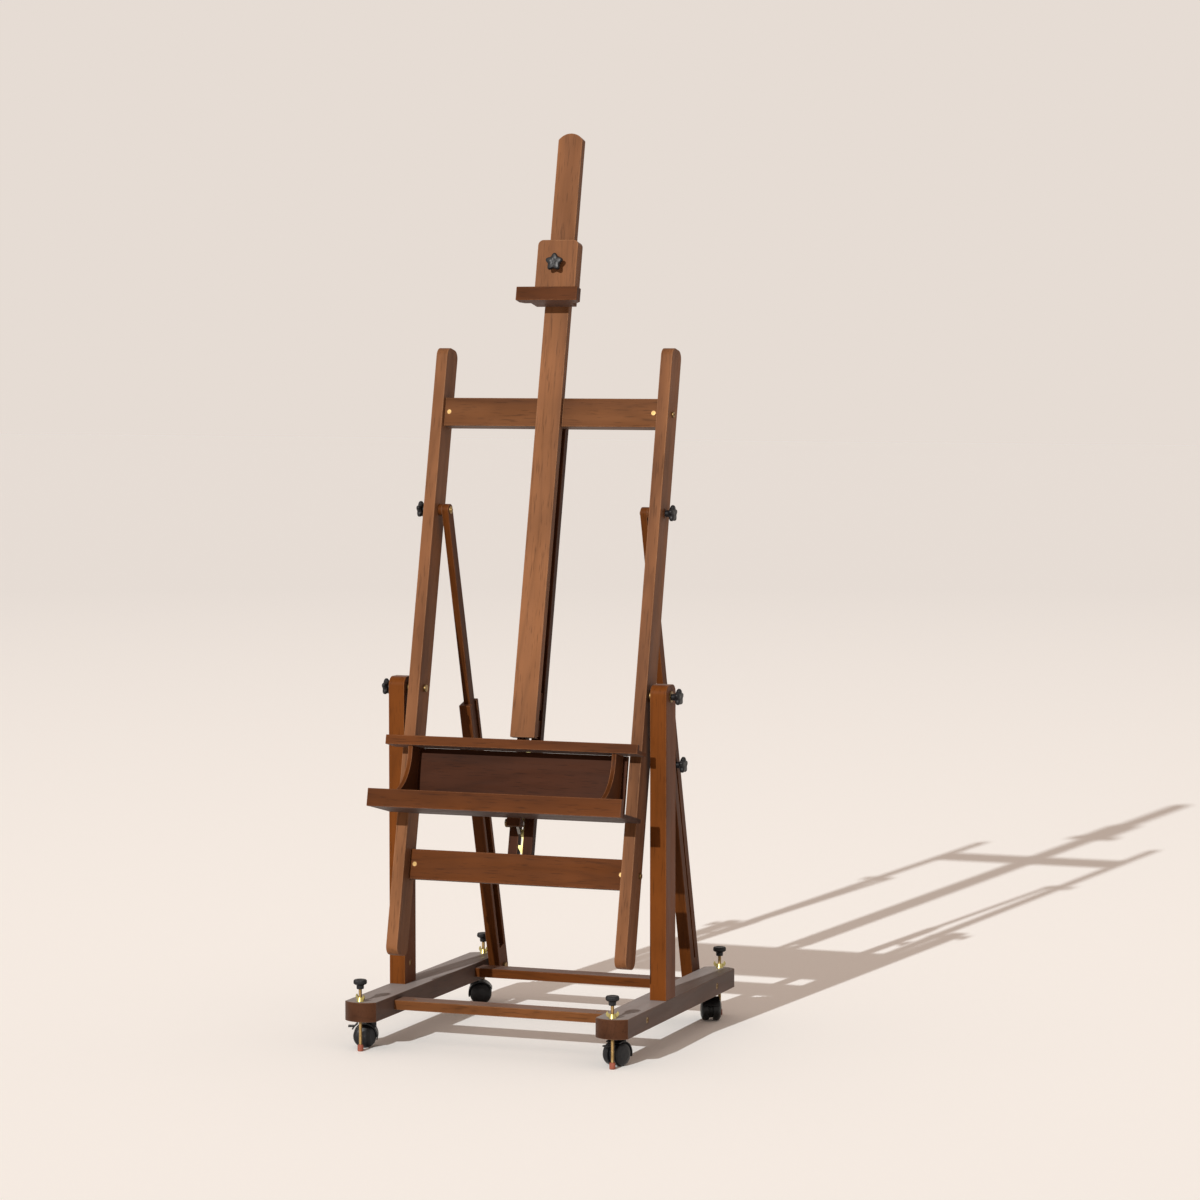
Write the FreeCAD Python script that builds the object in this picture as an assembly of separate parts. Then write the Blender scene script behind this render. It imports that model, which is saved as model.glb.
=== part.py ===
import FreeCAD, Part
import math
import os

from FreeCAD import Placement, Rotation, Vector

# Wooden H-frame artist easel, in millimetres. +Z is up, -Y is the painter's side, +X is to the painter's
# right. The origin is on the floor, under the middle of the base.
#
# The base stands on two runner feet. A frame of two side masts tilts between two posts on the base, and two
# telescopic struts behind it set the lean. A tray climbs a rack on the frame, and a sliding mast carries the
# upper canvas holder.
#
# Three working frames are used:
#   floor frame: X, Y, Z as above
#   mast frame:  X, then d behind the masts' front plane, then s up along the masts
#   strut frame: X, then w across the strut, then t up along it from its bottom hinge

# Wood, base
FOOT_IN = 208.0
FOOT_OUT = 268.0
FOOT_HALF_LENGTH = 300.0
FOOT_END_RISE = 13.5
FOOT_LOW = 54.0
FOOT_HIGH = 89.0
FOOT_MID = 71.5
CROSSBAR_Y = 188.0
CROSSBAR_WIDTH = 40.0
CROSSBAR_LOW = 63.7
CROSSBAR_HIGH = 80.7
POST_IN = 237.3
POST_OUT = 267.8
POST_FRONT = -91.9
POST_BACK = -41.6
POST_TOP = 651.2
CORNER_ROUND = 16.0
ARRIS = 1.0

# Tilt pivot of the mast frame, through the two posts
TILT_Y = -66.7
TILT_Z = 629.6

# Mast frame
MAST_LEAN = 12.68
MAST_ORIGIN = Vector(0, -193.8, 175.0)
MAST_IN = 207.8
MAST_OUT = 229.8
MAST_DEPTH = 49.0
MAST_LOW = -14.0
MAST_HIGH = 1101.0
TILT_D = 24.2
TILT_S = 471.4
UPPER_BAR = (955.0, 1007.0, 9.0, 38.0)
LOWER_BAR = (125.0, 179.0, 26.0, 48.0)
BAR_BOLT_INSET = 9.0
TRACK_HALF = 23.0
TRACK_FRONT = 33.0
TRACK_LOW = 127.0
TRACK_HIGH = 1007.0
SLOT_HALF = 5.0
SLOT_LOW = 179.0
SLOT_HIGH = 893.0
RACK_TOP_TOOTH = 369.7
RACK_TEETH = 7
RACK_PITCH = 29.0
RACK_TOOTH = 17.0
RACK_LOW = 181.0
RACK_SPINE = 2.0
RACK_FRONT = 36.0
RACK_BACK = 39.0
STRUT_TOP_S = 801.0
STRUT_TOP_D = 24.5
STRUT_WASHER = 1.5
LOCK_S = 918.0

# Sliding mast and canvas holder
SLIDER_HALF = 23.5
SLIDER_DEPTH = 16.0
SLIDER_LOW = 386.5
SLIDER_HIGH = 1499.5
GUIDE_SPANS = ((392.0, 420.0), (440.0, 470.0))
HOLDER_HALF = 39.0
HOLDER_LOW = 1199.0
HOLDER_HIGH = 1295.0
HOLDER_FRONT = -19.0
HOLDER_BACK = 6.0
HOLDER_KNOB_S = 1247.5
LEDGE_HALF = 59.0
LEDGE_FRONT = -57.0
LEDGE_STEP = -30.0
LEDGE_LOW = 1174.0

# Tray
TRAY_BACK_HALF = 207.0
TRAY_BACK_FRONT = -8.5
TRAY_BACK_REAR = -0.3
TRAY_LOW = 241.0
TRAY_FLOOR = 249.0
SHELF_LOW = 359.0
SHELF_HIGH = 366.5
SHELF_LIP = 376.0
SHELF_HALF = 241.0
SHELF_FRONT = -54.6
RAIL_FRONT = -114.0
RAIL_BACK = -102.0
RAIL_LOW = 240.7
RAIL_HIGH = 272.7
BRACKET_IN = 191.0
BRACKET_OUT = 199.0
PAWL_D = 14.0
PAWL_S = 233.0
PAWL_LENGTH = 23.0
PAWL_REST = -45.0

# Struts
STRUT_LEAN = 15.73
STRUT_FOOT_Y = 253.5
STRUT_FOOT_Z = 71.7
STRUT_IN = 183.0
STRUT_OUT = 205.4
STRUT_HALF = 20.5
STRUT_TOP = 538.0
STRUT_GROOVE_HALF = 11.5
STRUT_WEB_IN = 199.5
STRUT_GROOVE_LOW = 42.0
STRUT_SLOT_HALF = 3.5
STRUT_SLOT_HIGH = 508.0
EXTENSION_IN = 186.2
EXTENSION_OUT = 199.2
EXTENSION_HALF = 11.0
EXTENSION_LOW = 415.0
EXTENSION_PIN = 913.6
CLAMP_T = 429.0

# Levellers and casters
LEVELLER_X = 239.0
LEVELLER_Y = 285.5
LEVELLER_ROD = 3.0
CASTER_X = 238.0
CASTER_Y = 238.5
CASTER_TRAIL = 12.0
WHEEL_RADIUS = 20.7
WHEEL_CENTRE_Z = 21.0
HOOD_IN = 21.3
HOOD_OUT = 23.5
# Corner: side, end, heading of the caster's trail in degrees, and whether it has a brake lever.
CASTERS = {
    "front_left": (-1, -1, 201.7, True),
    "front_right": (1, -1, 247.7, True),
    "rear_left": (-1, 1, 21.7, False),
    "rear_right": (1, 1, -69.3, False),
}

# Hardware
FIT = 0.05
GAP = 0.3
PIVOT_BOLT = 4.0
CLAMP_BOLT = 3.0
FRAME_BOLT = 3.0
FRAME_BOLT_HEAD = 5.2
HEAD_RECESS = 5.5
KNOB_RADIUS = 15.5
HOLDER_KNOB_RADIUS = 17.0
KNOB_HUB_RADIUS = 6.0
KNOB_HUB = 9.0
KNOB_DISC = 9.0

ORIGIN = Vector(0, 0, 0)
ALONG_X = Vector(1, 0, 0)
ALONG_Y = Vector(0, 1, 0)
ALONG_Z = Vector(0, 0, 1)
MAST_FRAME = Placement(MAST_ORIGIN, Rotation(ALONG_X, -MAST_LEAN))
STRUT_FRAME = Placement(Vector(0, STRUT_FOOT_Y, STRUT_FOOT_Z), Rotation(ALONG_X, STRUT_LEAN))


def save(name, solids, frame=Placement()):
    """Write one node: its solids, given in a working frame, as one STEP file in the floor frame."""
    placed = [solid.transformed(frame.toMatrix()) for solid in solids]
    shape = placed[0] if len(placed) == 1 else Part.makeCompound(placed)
    shape.exportStep(f"parts/{name}.step")


def mirrored(shape):
    """The same shape on the left side."""
    return shape.mirror(ORIGIN, ALONG_X)


def save_pair(name, solids, frame=Placement()):
    """Write the right-hand node and its mirror image on the left."""
    save(f"{name}_right", solids, frame)
    save(f"{name}_left", [mirrored(solid) for solid in solids], frame)


def box(x0, x1, y0, y1, z0, z1):
    return Part.makeBox(x1 - x0, y1 - y0, z1 - z0, Vector(x0, y0, z0))


def rod(radius, start, end):
    """A round bar from one point to another."""
    line = end - start
    return Part.makeCylinder(radius, line.Length, start, line)


def rod_x(radius, x0, x1, y, z):
    return rod(radius, Vector(x0, y, z), Vector(x1, y, z))


def ring_x(inner, outer, x0, x1, y, z):
    return rod_x(outer, x0, x1, y, z).cut(rod_x(inner, x0, x1, y, z))


def rounded(shape, radius, axis, keep=None):
    """Fillet the straight edges that run along an axis, or those of them that keep() accepts."""
    edges = []
    for edge in shape.Edges:
        ends = edge.Vertexes
        if len(ends) < 2:
            continue
        line = (ends[1].Point - ends[0].Point).normalize()
        if abs(line.dot(axis)) > 0.999 and (keep is None or keep(edge.CenterOfMass)):
            edges.append(edge)
    return shape.makeFillet(radius, edges)


def bar(x0, x1, y0, y1, z0, z1, arris=ARRIS):
    """A planed wooden bar with every arris eased."""
    block = box(x0, x1, y0, y1, z0, z1)
    return block.makeFillet(arris, block.Edges)


def slab(points, axis, low, high):
    """A flat plate. Its outline is a list of points or (middle, end) arcs, pushed from low to high."""
    edges = []
    here = points[0]
    for item in points[1:] + [points[0]]:
        if isinstance(item, tuple):
            middle, end = item
            edges.append(Part.Arc(here, middle, end).toShape())
            here = end
        elif (item - here).Length > 1e-6:
            edges.append(Part.makeLine(here, item))
            here = item
    face = Part.Face(Part.Wire(edges))
    face.translate(axis * low)
    return face.extrude(axis * (high - low))


def revolved(points, frame=Placement()):
    """A turned solid about the frame's Z axis, from an (r, z) outline."""
    wire = Part.makePolygon([Vector(r, 0, z) for r, z in points + [points[0]]])
    return Part.Face(wire).revolve(ORIGIN, ALONG_Z, 360).transformed(frame.toMatrix())


def turned_to(origin, direction):
    """The frame at a point whose Z axis looks along a direction."""
    return Placement(origin, Rotation(ALONG_Z, direction))


def star_knob(radius, bolt, bolt_length, frame):
    """A five-lobed knob: hub at the frame's origin, lobed disc outside it, and its bolt going inward."""
    top = KNOB_HUB + KNOB_DISC
    edge = 2.0
    outline = [
        (0, 0), (KNOB_HUB_RADIUS, 0), (KNOB_HUB_RADIUS, KNOB_HUB), (radius - edge, KNOB_HUB),
        (radius, KNOB_HUB + edge), (radius, top - edge), (radius - edge, top), (0, top),
    ]
    knob = revolved(outline)
    for lobe in range(5):
        turn = math.radians(36 + 72 * lobe)
        reach = radius * 1.18
        foot = Vector(reach * math.cos(turn), reach * math.sin(turn), KNOB_HUB - 1)
        knob = knob.cut(Part.makeCylinder(radius * 0.42, KNOB_DISC + 2, foot))
    stem = Part.makeCylinder(bolt, bolt_length + 1, Vector(0, 0, -bolt_length))
    return knob.fuse(stem).removeSplitter().transformed(frame.toMatrix())


def hex_bolt_x(x_head, x_end, y, z, radius, head_radius, head):
    """A bolt along X with a cylinder head whose seat is at x_head; it ends at x_end."""
    away = 1 if x_head > x_end else -1
    shank = rod_x(radius, x_head, x_end, y, z)
    cap = rod_x(head_radius, x_head, x_head + away * head, y, z)
    socket = rod_x(head_radius * 0.45, x_head + away * head * 0.45, x_head + away * (head + 1), y, z)
    return shank.fuse(cap).cut(socket)


# Base: two runner feet joined by two crossbars, with a post standing on each foot

def make_feet():
    side = FOOT_HALF_LENGTH - FOOT_END_RISE
    middle = (FOOT_IN + FOOT_OUT) / 2
    outline = [
        Vector(FOOT_IN, -side, 0),
        (Vector(middle, -FOOT_HALF_LENGTH, 0), Vector(FOOT_OUT, -side, 0)),
        Vector(FOOT_OUT, side, 0),
        (Vector(middle, FOOT_HALF_LENGTH, 0), Vector(FOOT_IN, side, 0)),
    ]
    foot = slab(outline, ALONG_Z, FOOT_LOW, FOOT_HIGH)
    foot = foot.makeFillet(ARRIS, foot.Edges)
    for end in (-1, 1):
        leveller = Vector(LEVELLER_X, end * LEVELLER_Y, FOOT_LOW - 1)
        stem = Vector(CASTER_X, end * CASTER_Y, FOOT_LOW - 1)
        foot = foot.cut(Part.makeCylinder(LEVELLER_ROD + FIT, FOOT_HIGH - FOOT_LOW + 2, leveller))
        foot = foot.cut(Part.makeCylinder(PIVOT_BOLT + FIT, 23, stem))
        foot = foot.cut(rod_x(FRAME_BOLT + FIT, FOOT_IN - 1, FOOT_OUT + 1, end * CROSSBAR_Y, FOOT_MID))
        foot = foot.cut(rod_x(6.2, FOOT_OUT - HEAD_RECESS, FOOT_OUT + 1, end * CROSSBAR_Y, FOOT_MID))
    post_centre = Vector((POST_IN + POST_OUT) / 2, (POST_FRONT + POST_BACK) / 2, FOOT_LOW - 1)
    foot = foot.cut(Part.makeCylinder(PIVOT_BOLT + FIT, FOOT_HIGH - FOOT_LOW + 2, post_centre))
    foot = foot.cut(Part.makeCylinder(9, 11, post_centre))
    foot = foot.cut(rod_x(PIVOT_BOLT + FIT, FOOT_IN - 1, FOOT_IN + 30, STRUT_FOOT_Y, STRUT_FOOT_Z))
    save_pair("foot", [foot])


BARREL_X = FOOT_IN - 32
BARREL_RADIUS = 4.0


def make_base_crossbars():
    for name, end in (("front", -1), ("rear", 1)):
        y = end * CROSSBAR_Y
        half = CROSSBAR_WIDTH / 2
        wood = bar(-FOOT_IN, FOOT_IN, y - half, y + half, CROSSBAR_LOW, CROSSBAR_HIGH)
        for side in (-1, 1):
            nut = Vector(side * BARREL_X, y, FOOT_MID - 6)
            wood = wood.cut(Part.makeCylinder(BARREL_RADIUS + FIT, CROSSBAR_HIGH - FOOT_MID + 7, nut))
            bore_end = side * (BARREL_X - 10)
            wood = wood.cut(rod_x(FRAME_BOLT + FIT, side * (FOOT_IN + 1), bore_end, y, FOOT_MID))
        save(f"base_crossbar_{name}", [wood])


POST_NUT_Z = 125.0
POST_NUT_RADIUS = 5.0
POST_X = (POST_IN + POST_OUT) / 2
POST_Y = (POST_FRONT + POST_BACK) / 2


def make_posts():
    post = box(POST_IN, POST_OUT, POST_FRONT, POST_BACK, FOOT_HIGH, POST_TOP)
    post = rounded(post, CORNER_ROUND, ALONG_X, lambda point: point.z > POST_TOP - 1)
    post = post.makeFillet(ARRIS, post.Edges)
    post = post.cut(Part.makeCylinder(PIVOT_BOLT + FIT, 60, Vector(POST_X, POST_Y, FOOT_HIGH - 1)))
    post = post.cut(rod_x(POST_NUT_RADIUS + FIT, POST_IN - 1, POST_OUT - 6, POST_Y, POST_NUT_Z))
    post = post.cut(rod_x(PIVOT_BOLT + FIT, POST_IN - 1, POST_OUT + 1, TILT_Y, TILT_Z))
    save_pair("post", [post])


def make_base_bolts():
    """Crossbar bolts with their barrel nuts, and the bolt that draws each post down on its foot."""
    solids = []
    head_seat = FOOT_OUT - HEAD_RECESS
    for end in (-1, 1):
        y = end * CROSSBAR_Y
        solids.append(hex_bolt_x(head_seat, BARREL_X - 8, y, FOOT_MID, FRAME_BOLT, FRAME_BOLT_HEAD, 5))
        nut_base = Vector(BARREL_X, y, FOOT_MID - 6)
        nut = Part.makeCylinder(BARREL_RADIUS, CROSSBAR_HIGH - FOOT_MID + 5, nut_base)
        solids.append(nut.cut(rod_x(FRAME_BOLT, BARREL_X - 8, BARREL_X + 8, y, FOOT_MID)))
    head_z = FOOT_LOW + 10
    bolt = Part.makeCylinder(PIVOT_BOLT, POST_NUT_Z + 10 - head_z, Vector(POST_X, POST_Y, head_z))
    head = Part.makeCylinder(8, 5, Vector(POST_X, POST_Y, head_z - 5))
    solids.append(bolt.fuse(head))
    nut = rod_x(POST_NUT_RADIUS, POST_IN + 1, POST_OUT - 6, POST_Y, POST_NUT_Z)
    solids.append(nut.cut(Part.makeCylinder(PIVOT_BOLT, 20, Vector(POST_X, POST_Y, POST_NUT_Z - 10))))
    save("base_bolts", solids + [mirrored(solid) for solid in solids])


TILT_WASHER = 1.5
TILT_KNOB_X = POST_OUT + TILT_WASHER + GAP
TILT_BOLT_END = TILT_KNOB_X + 12


def make_hinge_bolts():
    """The tilt bolts with their spacers and washers, and the hinge pins at the struts' feet."""
    shank = rod_x(PIVOT_BOLT, MAST_IN - GAP, TILT_BOLT_END, TILT_Y, TILT_Z)
    head = rod_x(6.5, MAST_IN - GAP - 4, MAST_IN - GAP, TILT_Y, TILT_Z)
    spacer = ring_x(PIVOT_BOLT, 11, MAST_OUT + GAP, POST_IN, TILT_Y, TILT_Z)
    washer = ring_x(PIVOT_BOLT, 10, POST_OUT, POST_OUT + TILT_WASHER, TILT_Y, TILT_Z)
    pin = rod_x(PIVOT_BOLT, STRUT_IN - GAP, FOOT_IN + 28, STRUT_FOOT_Y, STRUT_FOOT_Z)
    cap = rod_x(8, STRUT_IN - GAP - 4, STRUT_IN - GAP, STRUT_FOOT_Y, STRUT_FOOT_Z)
    collar = ring_x(PIVOT_BOLT, 9, STRUT_OUT + GAP, FOOT_IN, STRUT_FOOT_Y, STRUT_FOOT_Z)
    solids = [shank.fuse(head), spacer, washer, pin.fuse(cap), collar]
    save("hinge_bolts", solids + [mirrored(solid) for solid in solids])


def make_tilt_knobs():
    for name, side in (("left", -1), ("right", 1)):
        frame = turned_to(Vector(side * TILT_KNOB_X, TILT_Y, TILT_Z), Vector(side, 0, 0))
        knob = star_knob(KNOB_RADIUS, PIVOT_BOLT, 0, frame)
        bore_start = side * (TILT_KNOB_X - 1)
        knob = knob.cut(rod_x(PIVOT_BOLT + FIT, bore_start, side * (TILT_BOLT_END + GAP), TILT_Y, TILT_Z))
        save(f"tilt_knob_{name}", [knob])


# Levellers: a threaded rod with a hand knob, a rubber cap on the floor and a wing nut that locks it

CAP_HIGH = 12.0
LEVELLER_TOP = 128.7
LEVELLER_DISC = 9.0
LEVELLER_HUB = 17.0
NUT_LOW = FOOT_HIGH + GAP
NUT_HIGH = 97.0
WING_HIGH = 102.0


def make_levellers():
    for name, (side, end, _, _) in CASTERS.items():
        place = Placement(Vector(side * LEVELLER_X, end * LEVELLER_Y, 0), Rotation())
        disc_low = LEVELLER_TOP - LEVELLER_DISC
        hub_low = LEVELLER_TOP - LEVELLER_HUB
        rod_top = hub_low + 10
        cap = revolved([
            (0, 0), (4.6, 0), (5.4, 0.8), (5.4, CAP_HIGH - 1.5), (4, CAP_HIGH), (0, CAP_HIGH),
        ], place)
        stud = Part.makeCylinder(LEVELLER_ROD, rod_top - CAP_HIGH, Vector(0, 0, CAP_HIGH))
        knob = revolved([
            (LEVELLER_ROD, hub_low), (6.5, hub_low), (6.5, disc_low), (10.8, disc_low),
            (12, disc_low + 1.5), (12, LEVELLER_TOP - 2), (10, LEVELLER_TOP), (0, LEVELLER_TOP),
            (0, rod_top), (LEVELLER_ROD, rod_top),
        ], place)
        save(f"leveller_{name}", [cap, stud.transformed(place.toMatrix()), knob])

        bore = LEVELLER_ROD + FIT
        hub = revolved([(bore, NUT_LOW), (7, NUT_LOW), (5.2, NUT_HIGH), (bore, NUT_HIGH)])
        for way in (-1, 1):
            wing = slab([
                Vector(way * 4, 0, NUT_LOW + 1), Vector(way * 8.2, 0, NUT_LOW + 2.5),
                (Vector(way * 11, 0, WING_HIGH - 3), Vector(way * 8.6, 0, WING_HIGH)),
                (Vector(way * 6.6, 0, WING_HIGH - 4), Vector(way * 4, 0, NUT_HIGH - 0.5)),
            ], ALONG_Y, -1.1, 1.1)
            hub = hub.fuse(wing)
        spin = Placement(place.Base, Rotation(ALONG_Z, 25 * side))
        save(f"wing_nut_{name}", [hub.transformed(spin.toMatrix())])


# Casters: a hood on a swivel stem, a pair of wheels on its axle and, in front, a brake lever

LEVER_PIVOT = 55.0
LEVER_REACH = 42.0


def sector(inner, outer, start, stop, half_width):
    """Part of a tube around the wheels' axle, between two angles measured up from the trail."""
    def at(radius, degrees):
        turn = math.radians(degrees)
        return Vector(CASTER_TRAIL + radius * math.cos(turn), 0, WHEEL_CENTRE_Z + radius * math.sin(turn))
    middle = (start + stop) / 2
    outline = [
        at(outer, start), (at(outer, middle), at(outer, stop)),
        at(inner, stop), (at(inner, middle), at(inner, start)),
    ]
    return slab(outline, ALONG_Y, -half_width, half_width)


def caster_hood(brake):
    """Hood with the web between the wheels, the axle through it and the swivel stem on top."""
    hood = sector(HOOD_IN, HOOD_OUT, 64 if brake else 22, 196, 16)
    web = rod(16, Vector(CASTER_TRAIL, -3.4, WHEEL_CENTRE_Z), Vector(CASTER_TRAIL, 3.4, WHEEL_CENTRE_Z))
    rib = sector(10, HOOD_IN + 0.5, 70, 190, 3.4)
    neck = Part.makeCylinder(8.5, 16, Vector(0, 0, 35.5))
    hub = Vector(CASTER_TRAIL, 3.4, WHEEL_CENTRE_Z)
    wheel_room = rod(HOOD_IN, hub, hub + ALONG_Y * 19)
    for room in (wheel_room, wheel_room.mirror(ORIGIN, ALONG_Y)):
        neck = neck.cut(room)
    flange = Part.makeCylinder(10, 2.4, Vector(0, 0, FOOT_LOW - GAP - 2.4))
    stem = Part.makeCylinder(PIVOT_BOLT, 23, Vector(0, 0, FOOT_LOW - GAP - 2))
    axle = rod(2.5, Vector(CASTER_TRAIL, -16, WHEEL_CENTRE_Z), Vector(CASTER_TRAIL, 16, WHEEL_CENTRE_Z))
    return hood.fuse([web, rib, neck, flange, stem, axle]).removeSplitter()


def caster_wheels():
    """Two domed wheels, bored for the axle from their inner faces."""
    outline = [
        (2.5 + FIT, 3.8), (WHEEL_RADIUS - 1.2, 3.8), (WHEEL_RADIUS, 5), (WHEEL_RADIUS, 13),
        (WHEEL_RADIUS - 1.5, 15.6), (WHEEL_RADIUS - 4.5, 17.6), (WHEEL_RADIUS - 10, 19.3), (0, 20),
        (0, 16.3), (2.5 + FIT, 16.3),
    ]
    hub = Vector(CASTER_TRAIL, 0, WHEEL_CENTRE_Z)
    return [revolved(outline, turned_to(hub, Vector(0, way, 0))) for way in (-1, 1)]


def brake_lever():
    plate = sector(HOOD_OUT + GAP, HOOD_OUT + 2.6, 26, LEVER_PIVOT, 6)
    tongue = box(CASTER_TRAIL + 20, LEVER_REACH, -6, 6, 36.2, 38.8)
    turn = math.radians(LEVER_PIVOT)
    reach = HOOD_OUT + 1.5
    x = CASTER_TRAIL + reach * math.cos(turn)
    z = WHEEL_CENTRE_Z + reach * math.sin(turn)
    barrel = rod(1.9, Vector(x, -6, z), Vector(x, 6, z))
    room_start = Vector(CASTER_TRAIL, -7, WHEEL_CENTRE_Z)
    room = rod(HOOD_OUT + GAP, room_start, room_start + ALONG_Y * 14)
    return plate.fuse([tongue, barrel]).cut(room).removeSplitter()


def make_casters():
    for name, (side, end, heading, brake) in CASTERS.items():
        frame = Placement(Vector(side * CASTER_X, end * CASTER_Y, 0), Rotation(ALONG_Z, heading))
        save(f"caster_hood_{name}", [caster_hood(brake)], frame)
        save(f"caster_wheels_{name}", caster_wheels(), frame)
        if brake:
            save(f"brake_lever_{name}", [brake_lever()], frame)


# Tilting frame, in the mast frame: two side masts, two crossbars and the slotted track post with its rack

def make_masts():
    mast = box(MAST_IN, MAST_OUT, 0, MAST_DEPTH, MAST_LOW, MAST_HIGH)
    mast = rounded(mast, CORNER_ROUND, ALONG_X)
    mast = mast.makeFillet(ARRIS, mast.Edges)
    mast = mast.cut(rod_x(PIVOT_BOLT + FIT, MAST_IN - 1, MAST_OUT + 1, TILT_D, TILT_S))
    mast = mast.cut(rod_x(CLAMP_BOLT + FIT, MAST_IN - 1, MAST_OUT + 1, STRUT_TOP_D, STRUT_TOP_S))
    for low, high, front, back in (UPPER_BAR, LOWER_BAR):
        d = (front + back) / 2
        s = (low + high) / 2
        mast = mast.cut(rod_x(FRAME_BOLT + FIT, MAST_IN - 1, MAST_OUT + 1, d, s))
    save_pair("mast", [mast], MAST_FRAME)


def make_frame_crossbars():
    for name, (low, high, front, back) in (("upper_crossbar", UPPER_BAR), ("lower_crossbar", LOWER_BAR)):
        wood = bar(-MAST_IN, MAST_IN, front, back, low, high)
        housing = TRACK_HALF
        wood = wood.cut(box(-housing, housing, TRACK_FRONT, back + 1, max(low - 1, TRACK_LOW), high + 1))
        middle_d = (front + back) / 2
        middle_s = (low + high) / 2
        for side in (-1, 1):
            nut_x = side * (MAST_IN - BAR_BOLT_INSET)
            bolt_start = side * (MAST_IN + 1)
            wood = wood.cut(rod_x(FRAME_BOLT + FIT, bolt_start, side * (MAST_IN - 20), middle_d, middle_s))
            nut_start = Vector(nut_x, front - 1, middle_s)
            wood = wood.cut(rod(BARREL_RADIUS + FIT, nut_start, Vector(nut_x, back - 3, middle_s)))
        if name == "upper_crossbar":
            notch = SLIDER_HALF + 0.5
            wood = wood.cut(box(-notch, notch, front - 1, SLIDER_DEPTH + GAP, low - 1, high + 1))
        save(name, [wood], MAST_FRAME)


def make_track_post():
    wood = bar(-TRACK_HALF, TRACK_HALF, TRACK_FRONT, MAST_DEPTH, TRACK_LOW, TRACK_HIGH)
    slot = box(-SLOT_HALF, SLOT_HALF, TRACK_FRONT - 1, MAST_DEPTH + 1, SLOT_LOW, SLOT_HIGH)
    lock = rod(PIVOT_BOLT + FIT, Vector(0, TRACK_FRONT - 1, LOCK_S), Vector(0, MAST_DEPTH + 1, LOCK_S))
    save("track_post", [wood.cut(slot).cut(lock)], MAST_FRAME)


def make_ratchet_rack():
    """A toothed strip against the slot's right wall; each tooth has a flat top and a sloping underside."""
    spine = RACK_SPINE
    top = RACK_TOP_TOOTH + 14
    outline = [Vector(SLOT_HALF, 0, RACK_LOW), Vector(spine, 0, RACK_LOW)]
    for step in reversed(range(RACK_TEETH)):
        crest = RACK_TOP_TOOTH - step * RACK_PITCH
        root = max(crest - RACK_TOOTH, RACK_LOW + 1)
        outline += [Vector(spine, 0, root), Vector(-SLOT_HALF + GAP, 0, crest - 4)]
        outline += [Vector(-SLOT_HALF + GAP, 0, crest), Vector(spine, 0, crest)]
    outline += [Vector(spine, 0, top), Vector(SLOT_HALF, 0, top)]
    save("ratchet_rack", [slab(outline, ALONG_Y, RACK_FRONT, RACK_BACK)], MAST_FRAME)


def make_frame_bolts():
    """Crossbar bolts from the masts' outer faces with their barrel nuts, and the lock screw's insert."""
    solids = []
    for low, high, front, back in (UPPER_BAR, LOWER_BAR):
        d = (front + back) / 2
        s = (low + high) / 2
        nut_x = MAST_IN - BAR_BOLT_INSET
        solids.append(hex_bolt_x(MAST_OUT, MAST_IN - 18, d, s, FRAME_BOLT, FRAME_BOLT_HEAD, 3.4))
        nut = rod(BARREL_RADIUS, Vector(nut_x, front + 0.5, s), Vector(nut_x, back - 3, s))
        solids.append(nut.cut(rod_x(FRAME_BOLT, nut_x - 8, nut_x + 8, d, s)))
    solids += [mirrored(solid) for solid in solids]
    plate = rod(10, Vector(0, MAST_DEPTH, LOCK_S), Vector(0, MAST_DEPTH + 2, LOCK_S))
    bore_start = Vector(0, MAST_DEPTH - 1, LOCK_S)
    solids.append(plate.cut(rod(PIVOT_BOLT + FIT, bore_start, bore_start + ALONG_Y * 4)))
    save("frame_bolts", solids, MAST_FRAME)


def make_strut_spacers():
    """Round spacers between the masts and the struts' tops, and washers under the knobs outside."""
    bore = CLAMP_BOLT + FIT
    spacer = ring_x(bore, 11, EXTENSION_OUT + 0.4, MAST_IN, STRUT_TOP_D, STRUT_TOP_S)
    washer = ring_x(bore, 9, MAST_OUT, MAST_OUT + STRUT_WASHER, STRUT_TOP_D, STRUT_TOP_S)
    solids = [spacer, washer]
    save("strut_spacers", solids + [mirrored(solid) for solid in solids], MAST_FRAME)


def make_strut_top_knobs():
    """Knobs outside the masts, whose bolts reach through to the struts' tops."""
    base = MAST_OUT + STRUT_WASHER + GAP
    for name, side in (("left", -1), ("right", 1)):
        frame = turned_to(Vector(side * base, STRUT_TOP_D, STRUT_TOP_S), Vector(side, 0, 0))
        knob = star_knob(KNOB_RADIUS, CLAMP_BOLT, base - EXTENSION_OUT - 0.6, frame)
        save(f"strut_top_knob_{name}", [knob], MAST_FRAME)


def make_mast_lock_knob():
    base = MAST_DEPTH + 2 + GAP
    frame = turned_to(Vector(0, base, LOCK_S), ALONG_Y)
    knob = star_knob(KNOB_RADIUS, PIVOT_BOLT, base - SLIDER_DEPTH - GAP, frame)
    save("mast_lock_knob", [knob], MAST_FRAME)


# Sliding mast with its guides, and the upper canvas holder

def make_sliding_mast():
    rise = SLIDER_HIGH - 12
    outline = [
        Vector(-SLIDER_HALF, 0, SLIDER_LOW), Vector(SLIDER_HALF, 0, SLIDER_LOW), Vector(SLIDER_HALF, 0, rise),
        (Vector(0, 0, SLIDER_HIGH), Vector(-SLIDER_HALF, 0, rise)),
    ]
    wood = slab(outline, ALONG_Y, 0, SLIDER_DEPTH)
    save("sliding_mast", [wood.makeFillet(ARRIS, wood.Edges)], MAST_FRAME)


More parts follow.
